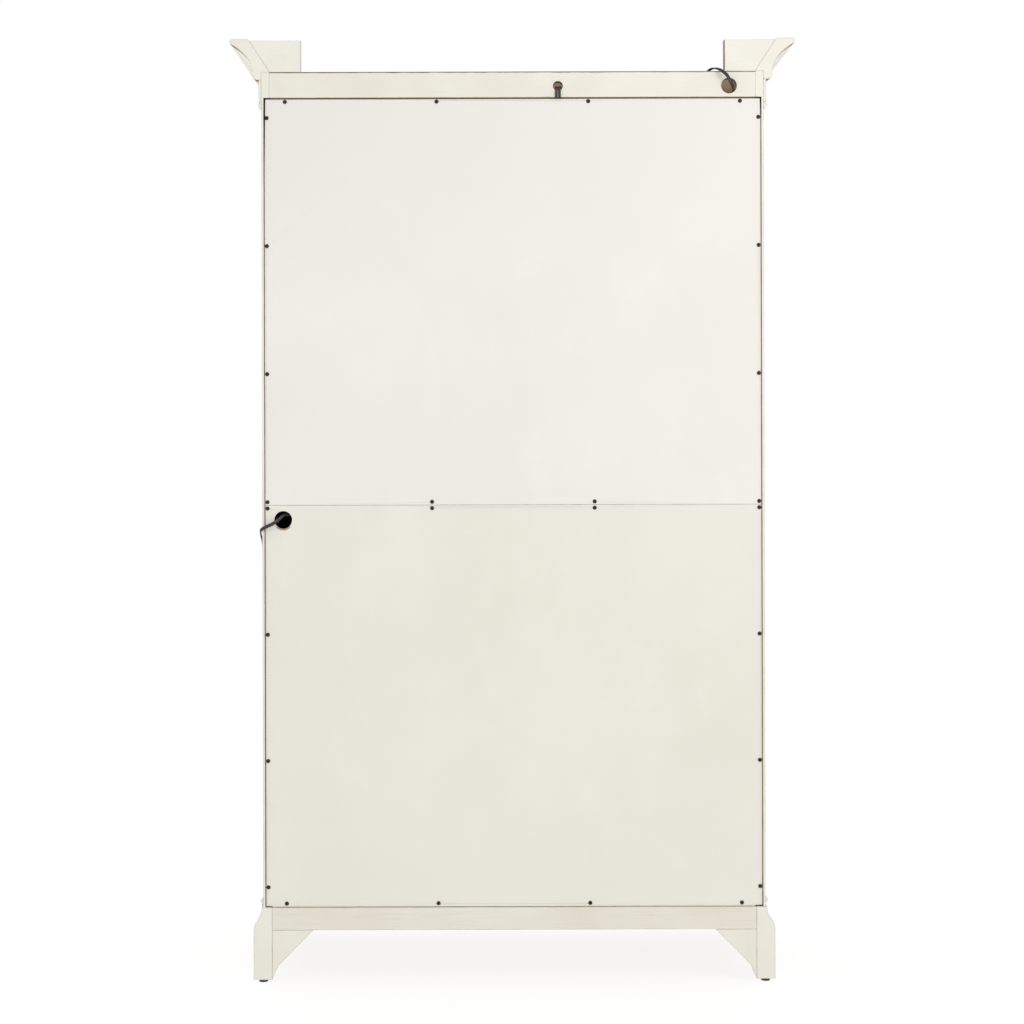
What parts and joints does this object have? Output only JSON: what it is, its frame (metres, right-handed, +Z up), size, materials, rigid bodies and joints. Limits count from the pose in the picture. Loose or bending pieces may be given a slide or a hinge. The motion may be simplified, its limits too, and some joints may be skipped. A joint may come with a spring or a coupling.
{
  "type": "apothecary cabinet",
  "caption": "Tall painted apothecary cabinet with glazed doors above rows of small drawers, screwed back panels and cord holes.",
  "frame": {"origin": "on the floor, under the middle of the cabinet's bounding box", "axes": "+Z up, +Y towards the back, -Y towards the doors and drawers, +X to the right seen from the front"},
  "size_m": [1.28, 0.5096, 2.134],
  "materials": {
    "painted_wood": "satin",
    "painted_panel": "satin",
    "raw_wood": "matte",
    "aged_metal": "satin",
    "black_plastic": "matte",
    "cord": "satin",
    "glass": "clear"
  },
  "bodies": {
    "cabinet": {"side_panel_left": "painted_wood", "side_panel_right": "painted_wood", "roof_board": "painted_wood", "middle_deck": "painted_wood", "floor_board": "painted_wood", "back_panel_upper": "painted_panel", "back_panel_lower": "painted_panel", "top_back_rail": "painted_wood", "bottom_back_rail": "painted_wood", "crown_blocks": "painted_wood", "crown_moulding": "painted_wood", "case_mouldings": "painted_wood", "base_boards": "painted_wood", "rear_brackets": "painted_wood", "foot_glides": "black_plastic", "face_frame": "painted_wood", "drawer_carcase": "raw_wood", "glass_shelves": "glass", "shelf_pins": "aged_metal", "panel_screws": "aged_metal", "lamps": "aged_metal", "supply_boxes": "black_plastic", "lamp_leads": "cord", "light_cord": "cord", "light_cord_coil": "cord", "light_cord_plug": "black_plastic", "module_cord": "cord", "module_cord_hank": "cord", "module_cord_plug": "black_plastic", "frame_hinge_leaves": "aged_metal"},
    "door_left": {"door_sash_left": "painted_wood", "door_glass_left": "glass", "door_fittings_left": "aged_metal"},
    "door_right": {"door_sash_right": "painted_wood", "door_glass_right": "glass", "door_fittings_right": "aged_metal"},
    "drawer_1_1": {"drawer_1_1": "painted_wood", "drawer_pull_1_1": "aged_metal"},
    "drawer_1_2": {"drawer_1_2": "painted_wood", "drawer_pull_1_2": "aged_metal"},
    "drawer_1_3": {"drawer_1_3": "painted_wood", "drawer_pull_1_3": "aged_metal"},
    "drawer_1_4": {"drawer_1_4": "painted_wood", "drawer_pull_1_4": "aged_metal"},
    "drawer_2_1": {"drawer_2_1": "painted_wood", "drawer_pull_2_1": "aged_metal"},
    "drawer_2_2": {"drawer_2_2": "painted_wood", "drawer_pull_2_2": "aged_metal"},
    "drawer_2_3": {"drawer_2_3": "painted_wood", "drawer_pull_2_3": "aged_metal"},
    "drawer_2_4": {"drawer_2_4": "painted_wood", "drawer_pull_2_4": "aged_metal"},
    "drawer_3_1": {"drawer_3_1": "painted_wood", "drawer_pull_3_1": "aged_metal"},
    "drawer_3_2": {"drawer_3_2": "painted_wood", "drawer_pull_3_2": "aged_metal"},
    "drawer_3_3": {"drawer_3_3": "painted_wood", "drawer_pull_3_3": "aged_metal"},
    "drawer_3_4": {"drawer_3_4": "painted_wood", "drawer_pull_3_4": "aged_metal"}
  },
  "joints": [
    {"name": "door_left_hinge", "type": "hinge", "parent": "cabinet", "child": "door_left", "pos_m": [-0.522, -0.1773, 1.53], "axis": [0, 0, -1], "range_deg": [0, 170]},
    {"name": "door_right_hinge", "type": "hinge", "parent": "cabinet", "child": "door_right", "pos_m": [0.522, -0.1773, 1.53], "axis": [0, 0, 1], "range_deg": [0, 170]},
    {"name": "drawer_1_1_slide", "type": "slide", "parent": "cabinet", "child": "drawer_1_1", "axis": [0, -1, 0], "range_m": [0, 0.28]},
    {"name": "drawer_1_2_slide", "type": "slide", "parent": "cabinet", "child": "drawer_1_2", "axis": [0, -1, 0], "range_m": [0, 0.28]},
    {"name": "drawer_1_3_slide", "type": "slide", "parent": "cabinet", "child": "drawer_1_3", "axis": [0, -1, 0], "range_m": [0, 0.28]},
    {"name": "drawer_1_4_slide", "type": "slide", "parent": "cabinet", "child": "drawer_1_4", "axis": [0, -1, 0], "range_m": [0, 0.28]},
    {"name": "drawer_2_1_slide", "type": "slide", "parent": "cabinet", "child": "drawer_2_1", "axis": [0, -1, 0], "range_m": [0, 0.28]},
    {"name": "drawer_2_2_slide", "type": "slide", "parent": "cabinet", "child": "drawer_2_2", "axis": [0, -1, 0], "range_m": [0, 0.28]},
    {"name": "drawer_2_3_slide", "type": "slide", "parent": "cabinet", "child": "drawer_2_3", "axis": [0, -1, 0], "range_m": [0, 0.28]},
    {"name": "drawer_2_4_slide", "type": "slide", "parent": "cabinet", "child": "drawer_2_4", "axis": [0, -1, 0], "range_m": [0, 0.28]},
    {"name": "drawer_3_1_slide", "type": "slide", "parent": "cabinet", "child": "drawer_3_1", "axis": [0, -1, 0], "range_m": [0, 0.28]},
    {"name": "drawer_3_2_slide", "type": "slide", "parent": "cabinet", "child": "drawer_3_2", "axis": [0, -1, 0], "range_m": [0, 0.28]},
    {"name": "drawer_3_3_slide", "type": "slide", "parent": "cabinet", "child": "drawer_3_3", "axis": [0, -1, 0], "range_m": [0, 0.28]},
    {"name": "drawer_3_4_slide", "type": "slide", "parent": "cabinet", "child": "drawer_3_4", "axis": [0, -1, 0], "range_m": [0, 0.28]}
  ]
}
